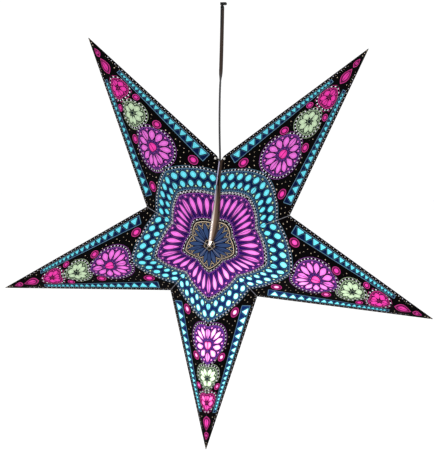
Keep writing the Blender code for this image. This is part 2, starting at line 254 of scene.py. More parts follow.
def flex_finish():
    """Brown sheath, satin, with painted shade in black on the left near the clamp and faint rub marks.
    Below the quarter turn its edge is painted grey-black as shade."""
    sheath = Finish("flex_sheath", roughness=0.42, specular=0.15)
    place = sheath.places()
    x, _, z = sheath.parts(place)[:3]
    # painted shade: the left half near the clamp is painted black
    left = sheath.below(x, SHADE_LEFT_OF, 0.0004)
    high = sheath.math("SUBTRACT", 1.0, sheath.below(z, SHADE_ABOVE, 0.006))
    left_shade = sheath.math("MULTIPLY", left, high)
    worn = sheath.noise(place, 160.0, 4.0)
    brown = sheath.mix(worn, *SHEATH_BROWN)
    edge = sheath.mix(worn, *EDGE_SHADE_GREY)
    # painted shade: below the quarter turn the edge is painted grey-black
    low = sheath.below(z, sum(QUARTER_TURN) / 2, 0.008)
    brown = sheath.mix(low, brown, edge)
    sheath.put("Base Color", sheath.mix(left_shade, brown, LEFT_SHADE_BLACK))
    sheath.put("Roughness", sheath.spread(worn, 0.3, 0.7, 0.36, 0.52))
    sheath.bump(sheath.noise(place, 1400.0), 0.15, 0.0002)
    return sheath.material


flex_line, flex_length = smooth_line(FLEX_ROUTE, FLEX_ROWS)
around = np.linspace(0.0, 2 * math.pi, FLEX_RING, endpoint=False)
# two touching circles: the radius is that of the core, and the middle of each half moves outwards
twin = np.stack(
    [
        np.cos(around) * CORE_R + np.sign(np.cos(around)) * (FLEX_WIDE / 2 - CORE_R),
        np.sin(around) * CORE_R,
    ],
    axis=1,
)
passed = np.clip((flex_line[:, 2] - QUARTER_TURN[0]) / np.diff(QUARTER_TURN), 0.0, 1.0)
flex = strand("twin_flex", flex_line, twin, passed**2 * (3 - 2 * passed) * math.pi / 2)
flex.data.materials.append(flex_finish())
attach(flex, "hung_facet")
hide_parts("flex")


# The printed arms
# Each arm is one sheet of heavy handmade paper, screen-printed in black and coloured inks that let
# the lamp's light through, and creased into four triangles. A sheet here is one such triangle, and
# the print is the same on each, mirrored at every ridge and seam.

MM = 1000
ARMS = 5
TIED_SEAM_AT, FIRST_ARM_AT = 90, 54
TIP_R = 0.3155
NOTCH_R = 0.1032
HALF_DEPTH = 0.0910
STAR_MIDDLE = np.array([-0.0077, 0.0, -0.3055])
HANG_ROLL = math.radians(2.8)
SHEET = 0.00035
EDGE_INSET_SHARE = 0.033
TIP_BLUNT = 0.0010
SEAM_OPENING = 0.0071
SEAM_GAP_UNDER, SEAM_GAP_OVER = 0.00005, 0.0006
NOTCH_TRIM = 0.0032
ROWS, COLUMNS = 264, 60
SIDES = (("front", -HALF_DEPTH), ("back", HALF_DEPTH))


def in_world(points):
    """Turns points of the star's own frame about Y by the roll that it hangs with, and places them."""
    cos, sin = math.cos(HANG_ROLL), math.sin(HANG_ROLL)
    roll = np.array([[cos, 0.0, sin], [0.0, 1.0, 0.0], [-sin, 0.0, cos]])
    return np.asarray(points) @ roll.T + STAR_MIDDLE


def on_middle_plane(radius, degrees):
    """A place on the plane of the tips: radius * (cos, 0, sin) of the angle up from the X axis."""
    angle = math.radians(degrees)
    return np.array([radius * math.cos(angle), 0.0, radius * math.sin(angle)])


RIDGE = math.hypot(TIP_R, HALF_DEPTH)
SEAM = math.hypot(NOTCH_R, HALF_DEPTH)
SIDE = np.linalg.norm(on_middle_plane(TIP_R, 0) - on_middle_plane(NOTCH_R, 180 / ARMS))
SEAM_ANGLE = math.acos((RIDGE**2 + SEAM**2 - SIDE**2) / (2 * RIDGE * SEAM))
NOTCH = np.array([SEAM * math.cos(SEAM_ANGLE), SEAM * math.sin(SEAM_ANGLE)])
TIP = np.array([RIDGE, 0.0])
SIDE_INTO = np.array([NOTCH[1], TIP[0] - NOTCH[0]]) / -SIDE
SEAM_INTO = np.array([math.sin(SEAM_ANGLE), -math.cos(SEAM_ANGLE)])
SIDE_ALONG = (TIP - NOTCH) / SIDE
SEAM_ALONG = NOTCH / SEAM


def sheet_corners(seam_gap=0.0, notch_trim=0.0):
    """Corners of one triangle on the flat: along the ridge, and away from it. The seam edge lies the
    gap inside the seam, and the notch is cut off square to its bisector. Each corner is where two
    neighbouring edges' lines meet."""
    bisector = SIDE_ALONG - SEAM_ALONG
    bisector /= np.linalg.norm(bisector)
    lines = [((0.0, 1.0), 0.0), (SIDE_INTO, SIDE_INTO @ NOTCH)]
    if notch_trim:
        lines.append((bisector, bisector @ NOTCH + notch_trim))
    lines.append((SEAM_INTO, seam_gap))
    corners = []
    for (a, p), (b, q) in zip(lines, lines[1:] + lines[:1]):
        corners.append(np.linalg.solve([a, b], [p, q]))
    return np.array([corners[-1], *corners[:-1][::-1]])


def sheet_grid(corners, opening=0.0):
    """The flat triangle as a grid: places, groups of faces, the places round its edge in order, and how
    far each place is from the far end of its row. A row runs at one distance along the ridge, and
    takes even shares of the way from the ridge to the triangle's other edges; the first and last rows
    are one place each. At an open seam the edge stands back from it by
    27/4 * opening * t * (1 - t)^2, t from 0 in the middle of the star to 1 at the notch."""
    lengths = np.diff(corners[:, 0])
    counts = np.maximum(2, np.round(ROWS * lengths / lengths.sum()).astype(int))
    spans = zip(corners[:-1, 0], corners[1:, 0], counts)
    spaced = [np.linspace(start, end, count, endpoint=False) for start, end, count in spans]
    along = np.concatenate([*spaced, corners[-1:, 0]])
    along = np.minimum(along, along[-1] - TIP_BLUNT)
    reach = np.interp(along, corners[:, 0], corners[:, 1])
    t = np.clip(along / corners[1, 0], 0.0, 1.0)
    reach -= 27 / 4 * opening * t * (1 - t) ** 2 / math.cos(SEAM_ANGLE)
    share = np.linspace(0.0, 1.0, COLUMNS + 1)
    rows = [np.column_stack([0 * share + a, r * share]) for a, r in zip(along[1:-1], reach[1:-1])]
    flat = np.vstack([[along[0], 0.0], *rows, [along[-1], reach[-1] / 2]])
    to_edge = np.concatenate([[0.0], *(r * (1 - share) for r in reach[1:-1]), [0.0]])
    last = len(flat) - 1
    index = np.arange(1, last).reshape(len(rows), len(share))
    quads = np.stack([index[:-1, :-1], index[1:, :-1], index[1:, 1:], index[:-1, 1:]], axis=-1)
    start = np.column_stack([np.zeros(COLUMNS, int), index[0, :-1], index[0, 1:]])
    end = np.column_stack([index[-1, :-1], np.full(COLUMNS, last), index[-1, 1:]])
    faces = [start, quads.reshape(-1, 4), end]
    edge = np.concatenate([[0], index[:, 0], [last], index[::-1, -1]])
    return flat, faces, edge, to_edge


# The print is plain traditional ornament: belts of rays, petals and scales round the middle, rosettes
# in roundels, and sawtooth borders. It is given in millimetres on the flat triangle: first along the
# ridge from the middle of the star, then away from the ridge. A figure that crosses the ridge is
# completed by the next triangle.

CREAM, LILAC, SKY, ROSE = (0.62, 0.50, 0.36), (0.26, 0.07, 0.32), (0.10, 0.21, 0.30), (0.55, 0.04, 0.24)
SAGE_LINE, PALE = (0.36, 0.48, 0.30), (0.62, 0.60, 0.66)
VIOLET, NAVY, BOTTLE = (0.011, 0.002, 0.055), (0.0012, 0.006, 0.034), (0.0015, 0.006, 0.008)
PLUM, UMBER = (0.026, 0.001, 0.013), (0.006, 0.004, 0.003)
ORCHID, TURQUOISE, SAGE = (0.82, 0.17, 0.70, 1.0), (0.150, 0.76, 0.90, 1.0), (0.56, 0.74, 0.48, 0.9)
MAGENTA, SLATE = (0.90, 0.052, 0.42, 1.0), (0.030, 0.060, 0.150, 0.30)
BLACK_GROUND, GROUND_GLOW = ((0.0005, 0.0004, 0.0006), (0.0022, 0.0018, 0.0021)), (0.0008, 0.0005, 0.0005)
SIDE_LINE, WINDOW_RIM = (0.10, 0.10, 0.12), (0.003, 0.001, 0.006)
DEEPER_TONE, FOLD_SHADE = (0.34, 0.16, 0.30), (0.20, 0.12, 0.20)
WORN_SEAM, WORN_RIDGE = (0.26, 0.25, 0.28), (0.16, 0.15, 0.16)
# the brown of the unprinted margin at the tied seam is darkened with painted shade
LIT_EDGE, HEM_BROWN_SHADE = ((0.58, 0.50, 0.48), (0.36, 0.33, 0.48)), (0.035, 0.022, 0.016)
CLEAR_INK, WASHED_OUT = (0.26, 0.26, 0.26), (1.0, 0.97, 0.98)
# rows of dots: how far the row is from its line, from dot to dot, and a dot's radius
SIDE_DOTS, SIDE_SPECKS = (3.0, 6.4, 0.66), (4.7, 6.4, 0.36)
OUTER_DOTS, INNER_DOTS = (2.1, 5.2, 0.95), (-1.6, 3.6, 0.45)
RIDGE_DOTS, SLANT_DOTS = (0.0, 4.4, 0.6), (0.0, 7.6, 0.62)
SIDE_DOTS_END, RIDGE_DOTS_START = 205.0, 311.0
SOFT = 0.22
FAR, UNDER_HEM = 99.0, -1.0


def petal(root, tip, width, belly=1.0, blunt=0.8, steps=14):
    """Outline of a petal: its half-width is half the width times sin(pi * share^belly)^blunt."""
    root, tip = np.array(root, float), np.array(tip, float)
    along = tip - root
    side = np.array([-along[1], along[0]]) / np.linalg.norm(along)
    share = (1 - np.cos(np.linspace(0.0, math.pi, steps)))[:, None] / 2
    middle = root + share * along
    half = width / 2 * np.abs(np.sin(math.pi * share**belly)) ** blunt * side
    return np.vstack([middle + half, (middle - half)[-2:0:-1]])


def turned(radius, degrees):
    """Places at a distance from the middle of the star, turned from the ridge towards the seam."""
    angle = np.radians(degrees)
    return np.stack([radius * np.cos(angle), radius * np.sin(angle)], axis=-1)


def circle(centre, radius):
    """A circle as 36 straight lines."""
    return np.array(centre, float) + turned(radius, np.arange(0, 360, 10))


def belt(inner, outer):
    """A band round the middle of the star, drawn past the ridge and the seam so that its ends are
    never seen."""
    degrees = np.linspace(-15, 60, 40)
    return np.vstack([turned(outer, degrees), turned(inner, degrees[::-1])])


def from_side(along, into):
    """A place at a distance along the side crease from the notch, and at another into the paper."""
    return NOTCH * MM + SIDE_ALONG * along + SIDE_INTO * into


figures = []  # outline, ground ink, line ink, 1 where a row of dots runs round it
windows = []  # outline, window ink and how much light it lets through
STEP = math.degrees(SEAM_ANGLE) / 20


def petals_round(centre, inner, outer, degrees, width, ink, belly=1.3):
    """Windows like petals round a centre, each from the inner to the outer radius."""
    for angle in degrees:
        roots = np.array(centre, float) + turned(np.array([inner, outer]), angle)
        windows.append((petal(roots[0], roots[1], width, belly), ink))


def beads_round(centre, radius, degrees, size, ink):
    """Round windows at one radius from a centre."""
    for middle in np.array(centre, float) + turned(radius, np.asarray(degrees, float)):
        windows.append((circle(middle, size), ink))


# three belts round the middle of the star: rays, petals and two rows of scales
figures.append((belt(2, 33), UMBER, CREAM, 0.0))
petals_round((0, 0), 8, 30, STEP * np.array([0, 10, 20]), 5.6, SLATE, 1.2)
beads_round((0, 0), 30, STEP * np.array([5, 15]), 1.1, SLATE)
figures.append((belt(39, 74), VIOLET, LILAC, 1.0))
beads_round((0, 0), 70.5, STEP * np.arange(2.5, 20, 5), 1.5, ORCHID)
petals_round((0, 0), 43, 69, STEP * np.arange(0, 21, 5), 6.3, ORCHID, 1.5)
figures.append((belt(80, 111), NAVY, SKY, 1.0))
SCALES = ((84, 93.5, 6.8, (0, 4, 8, 12, 16, 20)), (97, 107, 8.6, (2, 6, 10, 14, 18)))
for inner, outer, width, steps in SCALES:
    for step in steps:
        ends = turned(np.array([inner, outer]), STEP * step)
        windows.append((petal(ends[0], ends[1], width, 1.0, 0.6), TURQUOISE))
beads_round((0, 0), 84.5, STEP * np.arange(2, 20, 4), 1.2, SAGE)
beads_round((0, 0), 107, STEP * np.arange(0, 21, 4), 1.4, SAGE)
# three roundels on the ridge, each with a rosette
figures.append((circle((149, 0), 30), VIOLET, LILAC, 1.0))
beads_round((149, 0), 26.3, range(15, 180, 30), 1.6, ORCHID)
petals_round((149, 0), 10, 26.5, range(0, 181, 30), 8.2, ORCHID)
windows.append((circle((149, 0), 6), MAGENTA))
figures.append((circle((203, 0), 18), BOTTLE, SAGE_LINE, 1.0))
beads_round((203, 0), 15, (0, 45, 90, 135, 180), 1.2, SAGE)
petals_round((203, 0), 4, 15.5, (22.5, 67.5, 112.5, 157.5), 7.8, SAGE)
figures.append((circle((244, 0), 15), PLUM, ROSE, 1.0))
beads_round((244, 0), 12, (30, 90, 150), 1.2, MAGENTA)
petals_round((244, 0), 3, 12.5, range(0, 181, 60), 8.2, MAGENTA)
# lozenges on the ridge from the last roundel to the tip, and small roundels beside the others
WINDOW_SHARE = 0.55
for start, end, width in ((267, 292, 13), (295, 309, 7.5)):
    figures.append((petal((start, 0), (end, 0), width, 1.0, 1.0), PLUM, ROSE, 0.0))
    windows.append((petal((start + 4, 0), (end - 4, 0), width * WINDOW_SHARE, 1.0, 1.0), MAGENTA))
for place, radius in (((178, 25), 6), ((224, 18), 4.6), ((115, 47), 7)):
    figures.append((circle(place, radius), PLUM, ROSE, 0.0))
    windows.append((circle(place, radius * WINDOW_SHARE), MAGENTA))
# a sawtooth border along each side, smaller towards the tip
BORDER_ENDS = (14, 178)
BORDER_OUTER, BORDER_INNER = (8, 6), (25, 12)
TOOTH_FEET, TOOTH_SIZES = (10.2, 7.4), (1.0, 0.32)
TOOTH_HALF, TOOTH_HIGH, TOOTH_PITCH = 5.8, 12.0, 13.4
FIRST_TOOTH, LAST_TOOTH = BORDER_ENDS[0] + 9.0, BORDER_ENDS[1] - 3
border = [from_side(*place) for place in zip(BORDER_ENDS, BORDER_OUTER)]
border += [from_side(*place) for place in zip(BORDER_ENDS, BORDER_INNER)][::-1]
figures.append((np.array(border), NAVY, SKY, 0.0))
tooth = FIRST_TOOTH
while tooth < LAST_TOOTH:
    size = np.interp(tooth, BORDER_ENDS, TOOTH_SIZES)
    foot = np.interp(tooth, BORDER_ENDS, TOOTH_FEET)
    corners = [from_side(tooth + way * TOOTH_HALF * size, foot) for way in (-1, 1)]
    windows.append((np.array([*corners, from_side(tooth, foot + TOOTH_HIGH * size)]), TURQUOISE))
    tooth += TOOTH_PITCH * size


def outline_distance(points, outline):
    """For each point: how far it is from a closed outline, less than 0 inside, and how far round the
    outline the nearest place lies. Each side of the outline is a straight line from a to b; the
    nearest place on it is a + t (b - a), t between 0 and 1. Inside is where a ray crosses it oddly."""
    a, b = outline, np.roll(outline, -1, axis=0)
    side = b - a
    length = np.maximum(np.linalg.norm(side, axis=1), 1e-9)
    off = points[:, None, :] - a
    t = np.clip((off * side).sum(-1) / length**2, 0.0, 1.0)
    gap = np.linalg.norm(off - t[..., None] * side, axis=-1)
    nearest = gap.argmin(axis=1)
    every = np.arange(len(points))
    run = np.concatenate([[0.0], np.cumsum(length)[:-1]])[nearest] + t[every, nearest] * length[nearest]
    y = points[:, 1:]
    spans = (a[:, 1] > y) != (b[:, 1] > y)
    meets = a[:, 0] + (y - a[:, 1]) * side[:, 0] / np.where(side[:, 1] == 0, 1e-9, side[:, 1])
    inside = (spans & (points[:, :1] < meets)).sum(axis=1) % 2 == 1
    return np.where(inside, -1.0, 1.0) * gap[every, nearest], run


def print_values(flat, hem):
    """What the paper carries at each place: distances from the figures' outlines and the inks of the
    nearest figure, all in millimetres. The hem is how far a place is from the edge of the tied seam's
    overlapping sheet, less than 0 on the sheet under it and far on the rest."""
    points = flat * MM
    count = len(points)
    cell_edge, motif_edge = np.full(count, FAR), np.full(count, FAR)
    motif_run = np.zeros(count)
    cell_ink, motif_ink, motif_line = (np.zeros((count, 4)) for _ in range(3))
    for outline, ink in windows:
        edge, _ = outline_distance(points, outline)
        nearer = edge < cell_edge
        cell_edge[nearer] = edge[nearer]
        cell_ink[nearer] = ink
    for outline, ink, line, dotted in figures:
        edge, run = outline_distance(points, outline)
        nearer = edge < motif_edge
        motif_edge[nearer], motif_run[nearer] = edge[nearer], run[nearer]
        motif_ink[nearer] = (*ink, 1.0)
        motif_line[nearer] = (*line, dotted)
    at_notch = points - NOTCH * MM
    return {
        "edges": np.stack([cell_edge, motif_edge, motif_run], axis=1),
        "creases": np.stack([points[:, 1], at_notch @ SIDE_INTO, points @ SEAM_INTO], axis=1),
        "runs": np.stack([at_notch @ SIDE_ALONG, points @ SEAM_ALONG, 0 * points[:, 0]], axis=1),
        "flat": np.column_stack([points, hem]),
        "cell_ink": cell_ink,
        "motif_ink": motif_ink,
        "motif_line": motif_line,
    }


# the lamp's light through the paper
GLOW_PLACE = (0.034, 0.0, -0.432)
GLOW_REACH = 0.165
GLOW_GAIN = 1.10
GLOW_LEAST = 0.57


def printed_paper():
    """Black paper with the print. The values on the mesh say how far each place is from the figures'
    outlines; here a fill is where that distance is below 0, a line is a narrow band of it, and a row
    of dots is a circle repeated along the run of the outline."""
    paper = Finish("printed_paper", roughness=0.66, specular=0.01)
    place = paper.places()
    cell_edge, motif_edge, motif_run = paper.parts(paper.read("edges"))[:3]
    ridge, side, seam = paper.parts(paper.read("creases"))[:3]
    side_run, seam_run = paper.parts(paper.read("runs"))[:2]
    flat = paper.read("flat")
    along, away, hem = paper.parts(flat)[:3]
    cell_ink, motif_ink = paper.read("cell_ink", "Color"), paper.read("motif_ink", "Color")
    clear = paper.read("cell_ink", "Alpha")
    motif_line, dotted = paper.read("motif_line", "Color"), paper.read("motif_line", "Alpha")

    def repeated(run, pitch):
        """How far a place is from the middle of the repeat that it lies in. A thousand repeats are
        added first, so that the remainder is always that of a positive number."""
        whole = paper.math("MODULO", paper.math("ADD", run, 1000 * pitch), pitch)
        return paper.math("SUBTRACT", whole, pitch / 2)

    def dots(run, gap, row, pitch, radius):
        """1 where sqrt(step^2 + off^2) is below the radius: the step is from the nearest dot's middle
        along the row, and off is how much the gap from the line differs from the row's."""
        step, off = repeated(run, pitch), paper.math("SUBTRACT", gap, row)
        squares = [paper.math("MULTIPLY", part, part) for part in (step, off)]
        return paper.below(paper.math("SQRT", paper.math("ADD", *squares)), radius, SOFT)

    def both(a, b):
        """What two masks share: their product."""
        return paper.math("MULTIPLY", a, b)

    def over(value, limit):
        """1 where the value is over the limit."""
        return paper.math("SUBTRACT", 1.0, paper.below(value, limit, SOFT))

    def darker(ink, shade):
        """An ink times a shade."""
        return paper.mix(1.0, ink, shade, "MULTIPLY")

    # the light falls off away from the low part of the star, where it is strongest:
    # least + gain * exp(-(distance / reach)^2)
    glow_gap = paper.node(
        "ShaderNodeVectorMath", {0: place, 1: GLOW_PLACE}, output="Value", operation="DISTANCE"
    )
    fall = paper.math("DIVIDE", glow_gap, GLOW_REACH)
    near = paper.math("EXPONENT", paper.math("MULTIPLY", both(fall, fall), -1.0))

    # the layers of ink from the ground up: where each lies, its colour, and how much light it passes
    layers = []
    grain = paper.noise(place, 420.0, 4.0)
    colour = paper.mix(grain, *BLACK_GROUND)
    glow = paper.mix(grain, (0.0, 0.0, 0.0), GROUND_GLOW)
    # rows of fine dots on the slant, which wander a little, where there is room on the black ground
    room = both(both(over(motif_edge, 5.0), over(side, 6.0)), over(seam, 2.5))
    ways = [paper.math(way, along, away) for way in ("ADD", "SUBTRACT")]
    slants = [paper.math("MULTIPLY", way, math.sqrt(0.5)) for way in ways]
    shift = paper.spread(paper.noise(flat, 0.11, 1.0), 0.3, 0.7, -1.6, 1.6)
    across = repeated(paper.math("ADD", slants[1], shift), SLANT_DOTS[1])
    speck = both(dots(paper.math("SUBTRACT", slants[0], shift), across, *SLANT_DOTS), room)
    layers.append((speck, CREAM, 0.10))
    # two rows of dots and a thin line along the side crease
    short = paper.below(side_run, SIDE_DOTS_END, 0.5)
    between = paper.math("ADD", side_run, SIDE_DOTS[1] / 2)
    layers.append((both(dots(side_run, side, *SIDE_DOTS), short), PALE, 0.08))
    layers.append((both(dots(between, side, *SIDE_SPECKS), short), CREAM, 0.08))
    layers.append((both(paper.band(side, 0.30, 0.25, SOFT), short), SIDE_LINE, 0.05))
    # a row of dots and a fine line outside the dotted figures
    outside = both(over(motif_edge, 0.0), dotted)
    layers.append((both(dots(motif_run, motif_edge, *OUTER_DOTS), outside), PALE, 0.20))
    layers.append((both(paper.band(motif_edge, 4.0, 0.22, SOFT), outside), motif_line, 0.12))
    # the figures: ground and outline, and in the dotted ones a row of dots inside it. Nearest the
    # light the ground shows its colour too.
    ground_shine = paper.spread(near, 0.40, 0.85, 0.45, 2.6)
    layers.append((paper.below(motif_edge, 0.0, SOFT), motif_ink, ground_shine))
    layers.append((paper.band(motif_edge, -0.1, 0.34, SOFT), motif_line, 0.30))
    layers.append((both(dots(motif_run, motif_edge, *INNER_DOTS), dotted), motif_line, 0.35))
    # the windows: a pale outline, a dark line and the window itself
    in_motif = paper.below(motif_edge, -0.6, SOFT)
    layers.append((both(paper.band(cell_edge, 1.45, 0.10, SOFT), in_motif), motif_line, 0.35))
    layers.append((both(paper.band(cell_edge, 0.50, 0.55, SOFT), in_motif), WINDOW_RIM, 0.0))
    window = both(paper.below(cell_edge, 0.0, SOFT), in_motif)
    layers.append((window, cell_ink, clear))
    # inside the wider windows a fine line in a deeper tone follows the outline
    inset = both(paper.band(cell_edge, -1.7, 0.10, SOFT), window)
    layers.append((inset, darker(cell_ink, DEEPER_TONE), clear))
    # the tip: a row of dots along the ridge
    at_tip = over(along, RIDGE_DOTS_START)
    layers.append((both(dots(along, ridge, *RIDGE_DOTS), at_tip), CREAM, 0.1))
    # across a window the crease of the ridge is painted as a thin dark line of shade
    crease_shade_line = both(paper.below(ridge, 0.42, SOFT), window)
    layers.append((crease_shade_line, darker(cell_ink, FOLD_SHADE), 0.35))
    # wear along the glued seams and the ridge
    worn = paper.noise(place, 900.0, 2.0)
    rubbed = paper.spread(worn, 0.3, 0.6, 0.5, 1.0)
    layers.append((both(paper.below(seam, 0.42, 0.2), rubbed), WORN_SEAM, 0.06))
    rubbed = paper.spread(worn, 0.45, 0.65, 0.0, 0.5)
    layers.append((both(paper.below(ridge, 0.16, 0.15), rubbed), WORN_RIDGE, 0.05))
    # at the tied seam one edge is pale and lit, more so towards the middle of the star, and the
    # other ends in a brown unprinted margin, darkened with painted shade that fades away from the edge
    reach = paper.spread(seam_run, 20.0, 135.0, 1.3, 1.5)
    in_reach = paper.below(paper.math("SUBTRACT", seam, reach), 0.0, 0.35)
    lit_edge = paper.mix(paper.spread(seam_run, 25.0, 75.0, 0.0, 1.0), *LIT_EDGE)
    layers.append((both(in_reach, paper.below(hem, -0.5, 0.1)), lit_edge, 0.26))
    shaded_margin = both(paper.below(hem, 3.4, 1.6), paper.math("SUBTRACT", 1.0, paper.below(hem, 0.0, 0.1)))
    layers.append((shaded_margin, HEM_BROWN_SHADE, 0.2))
    for mask, ink, shine in layers:
        colour = paper.mix(mask, colour, ink)
        lit = paper.node("ShaderNodeVectorMath", {0: ink, "Scale": shine}, operation="SCALE")
        glow = paper.mix(mask, glow, lit)
    # an ink that lets light through reflects little of it
    colour = paper.mix(both(window, clear), colour, CLEAR_INK, "MULTIPLY")

    # nearest the light the middle of a window is washed out and only its rim keeps the ink's colour
    depth = both(both(paper.spread(cell_edge, -0.2, -2.0, 0.0, 1.0), window), clear)
    washed = both(depth, paper.spread(near, 0.46, 0.95, 0.0, 0.80))
    washed = both(washed, paper.spread(ridge, 0.5, 4.5, 0.10, 1.0))
    glow = paper.mix(washed, glow, WASHED_OUT)
    strength = paper.math("ADD", paper.math("MULTIPLY", near, GLOW_GAIN), GLOW_LEAST)
    # the ink lies thicker at a window's rim, so its middle is the brighter
    strength = both(strength, paper.spread(cell_edge, -0.3, -2.8, 0.84, 1.16))
    mottle = paper.spread(paper.noise(place, 260.0, 4.0), 0.3, 0.7, 0.86, 1.10)
    paper.put("Base Color", colour)
    paper.put("Emission Color", glow)
    paper.put("Emission Strength", both(strength, mottle))
    fibre = paper.noise(place, 1500.0, 5.0, 0.7)
    paper.put("Roughness", paper.spread(fibre, 0.3, 0.7, 0.58, 0.76))
    paper.bump(fibre, 0.25, 0.0002)
    return paper.material


PAPER_BROWN = ((0.30, 0.20, 0.15), (0.52, 0.40, 0.31))


def bare_paper():
    """Unprinted brown handmade paper, as inside the star, warm where the lamp lights it."""
    paper = Finish("bare_paper", roughness=0.8, specular=0.2)
    place = paper.places()
    fibre = paper.noise(place, 900.0, 6.0, 0.7)
    paper.put("Base Color", paper.mix(fibre, *PAPER_BROWN))
    paper.bump(fibre, 0.4, 0.0003)
    return paper.material


printed, bare = printed_paper(), bare_paper()
SHEET_KINDS = {
    "plain": (sheet_corners(), 0.0),
    "under": (sheet_corners(SEAM_GAP_UNDER, NOTCH_TRIM), 0.0),
    "over": (sheet_corners(SEAM_GAP_OVER, NOTCH_TRIM), SEAM_OPENING),
}
sheet_grids = {kind: sheet_grid(*shape) for kind, shape in SHEET_KINDS.items()}
sheet_prints = {}
for kind, (flat, _, _, to_edge) in sheet_grids.items():
    hem = np.full(len(flat), UNDER_HEM if kind == "under" else FAR)
    if kind == "over":
        hem = np.where(flat[:, 0] > NOTCH[0], FAR, MM * to_edge * math.cos(SEAM_ANGLE))
    sheet_prints[kind] = print_values(flat, hem)
SWELL, SWELL_SPAN = 0.00035, 0.048
RIPPLE, RIPPLE_WAVES, RIPPLE_START = 0.45, (61.0, 83.0), 1.3
# the sheets' own map: the print up to the first height, the rim between the next two as a strip, and
# the inner face pressed flat above the last
PRINT_TOP, RIM_LOW, RIM_HIGH, INNER_LOW = 0.90, 0.905, 0.930, 0.94


def paper_sheet(name, kind, apex, tip, notch):
    """One triangle of an arm. The outer face is the grid of the flat triangle, carried to its place by
    p = apex + along * ridge way + away * way from the ridge + height * outward. The height is a slight
    swell, most * w / (1 + w) * ripple, with w the product of the distances from the three creases over
    a third of the span each. A narrow rim leads from the edges to the inner face, a fan that is
    smaller by the inset. Gives the piece, how many faces are printed and how many places they have."""
    flat, printed_faces, edge, _ = sheet_grids[kind]
    along = (tip - apex) / np.linalg.norm(tip - apex)
    away = (notch - apex) - (notch - apex) @ along * along
    away /= np.linalg.norm(away)
    outward = np.cross(along, away)
    outward *= np.sign(outward @ apex)
    u, v = flat.T
    gaps = np.clip([v, (flat - NOTCH) @ SIDE_INTO, flat @ SEAM_INTO], 0, 1)
    swell = 27 * gaps.prod(axis=0) / SWELL_SPAN**3
    ripple = 1.0 + RIPPLE * np.sin(u * RIPPLE_WAVES[0] + RIPPLE_START) * np.sin(v * RIPPLE_WAVES[1])
    height = SWELL * swell / (1 + swell) * ripple
    points = apex + np.outer(u, along) + np.outer(v, away) + np.outer(height, outward)
    middle = flat[edge].mean(axis=0)
    inner_flat = np.vstack([flat[edge] + (middle - flat[edge]) * EDGE_INSET_SHARE, middle])
    inner = apex + np.outer(inner_flat[:, 0], along) + np.outer(inner_flat[:, 1], away) - SHEET * outward
    first = len(points)
    ring = np.arange(len(edge))
    after = np.roll(ring, -1)
    rim = np.stack([edge, ring + first, after + first, edge[after]], axis=-1)
    under = np.column_stack([after + first, ring + first, np.full(len(ring), first + len(ring))])
    faces = [*printed_faces, rim, under]
    shown = np.column_stack([u / RIDGE, PRINT_TOP * v / NOTCH[1]])
    left, right = ring / len(ring), (ring + 1) / len(ring)
    low, high = np.full(len(ring), RIM_LOW), np.full(len(ring), RIM_HIGH)
    strip = np.stack([left, low, left, high, right, high, right, low], axis=-1).reshape(-1, 4, 2)
    pressed = inner_flat / (RIDGE, NOTCH[1]) * (1.0, 1 - INNER_LOW) + (0.0, INNER_LOW)
    maps = [*(shown[group] for group in printed_faces), strip, pressed[under - first]]
    if np.cross(along, away) @ outward < 0:
        faces = [group[:, ::-1] for group in faces]
        maps = [group[:, ::-1] for group in maps]
    piece = link_mesh(name, in_world(np.vstack([points, inner])), faces, smooth=False)
    places = np.concatenate([group.reshape(-1, 2) for group in maps])
    piece.data.uv_layers.new(name="OFBake").data.foreach_set("uv", places.ravel())
    return piece, sum(map(len, printed_faces)), first


for arm in range(1, ARMS + 1):
    axis = FIRST_ARM_AT - (arm - 1) * 360 / ARMS
    for side, depth in SIDES:
        for half, turn_by in (("first", 180 / ARMS), ("second", -180 / ARMS)):
            kind = {(1, "first"): "over", (5, "second"): "under"}.get((arm, half), "plain")
            node = f"arm_{arm}_{side}_{half}"
            piece, printed_count, first = paper_sheet(
                f"sheet_{arm}_{side}_{half}",
                kind,
                np.array([0.0, depth, 0.0]),
                on_middle_plane(TIP_R, axis),
                on_middle_plane(NOTCH_R, axis + turn_by),
            )
            mesh = piece.data
            mesh.materials.append(printed)
            mesh.materials.append(bare)
            slots = np.zeros(len(mesh.polygons), np.int32)
            slots[printed_count:] = 1
            mesh.polygons.foreach_set("material_index", slots)
            for label, values in sheet_prints[kind].items():
                inside = np.repeat(values[:1], len(mesh.vertices) - first, axis=0)
                form, field = "FLOAT_VECTOR", "vector"
                if values.shape[1] == 4:
                    form, field = "FLOAT_COLOR", "color"
                carried = mesh.attributes.new(label, form, "POINT")
                carried.data.foreach_set(field, np.vstack([values, inside]).ravel())
            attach(piece, "hung_facet" if node == "arm_5_front_second" else node)
            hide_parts(node)


# The glued flanges
# Inside each glued seam, in front and behind, the unprinted margins of two neighbouring arms are
# glued face to face. They stand into the star as one rib of brown paper, in the CAD's own shape.

for name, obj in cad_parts.items():
    if name.startswith("seam_rib"):
        obj.material_slots[0].material = bare


# The closing flaps
# At the tied seam a narrow tongue of unprinted paper is glued to the edge of the last arm and tucked
# under the first, in front and behind. The lamp shines along it, brightest at its crease, and painted
# shade darkens it away from the crease.

FLAP_CREASE_SHARES = (0.012, 0.68)
FLAP_WIDTHS = ((0.0, 0.003), (0.35, 0.014), (1.0, 0.009))
FLAP_DIP = math.radians(24)
FLAP_BOW = 0.0007
FLAP_DROP = 0.0005
FLAP_FOLD = 0.0015
FLAP_END_SLANTS = (0.05, -0.08)
FLAP_ROWS, FLAP_COLUMNS = 61, 17
FLAP_BROWN = ((0.130, 0.082, 0.056), (0.250, 0.165, 0.115))
FLAP_LIT = (0.66, 0.57, 0.54)


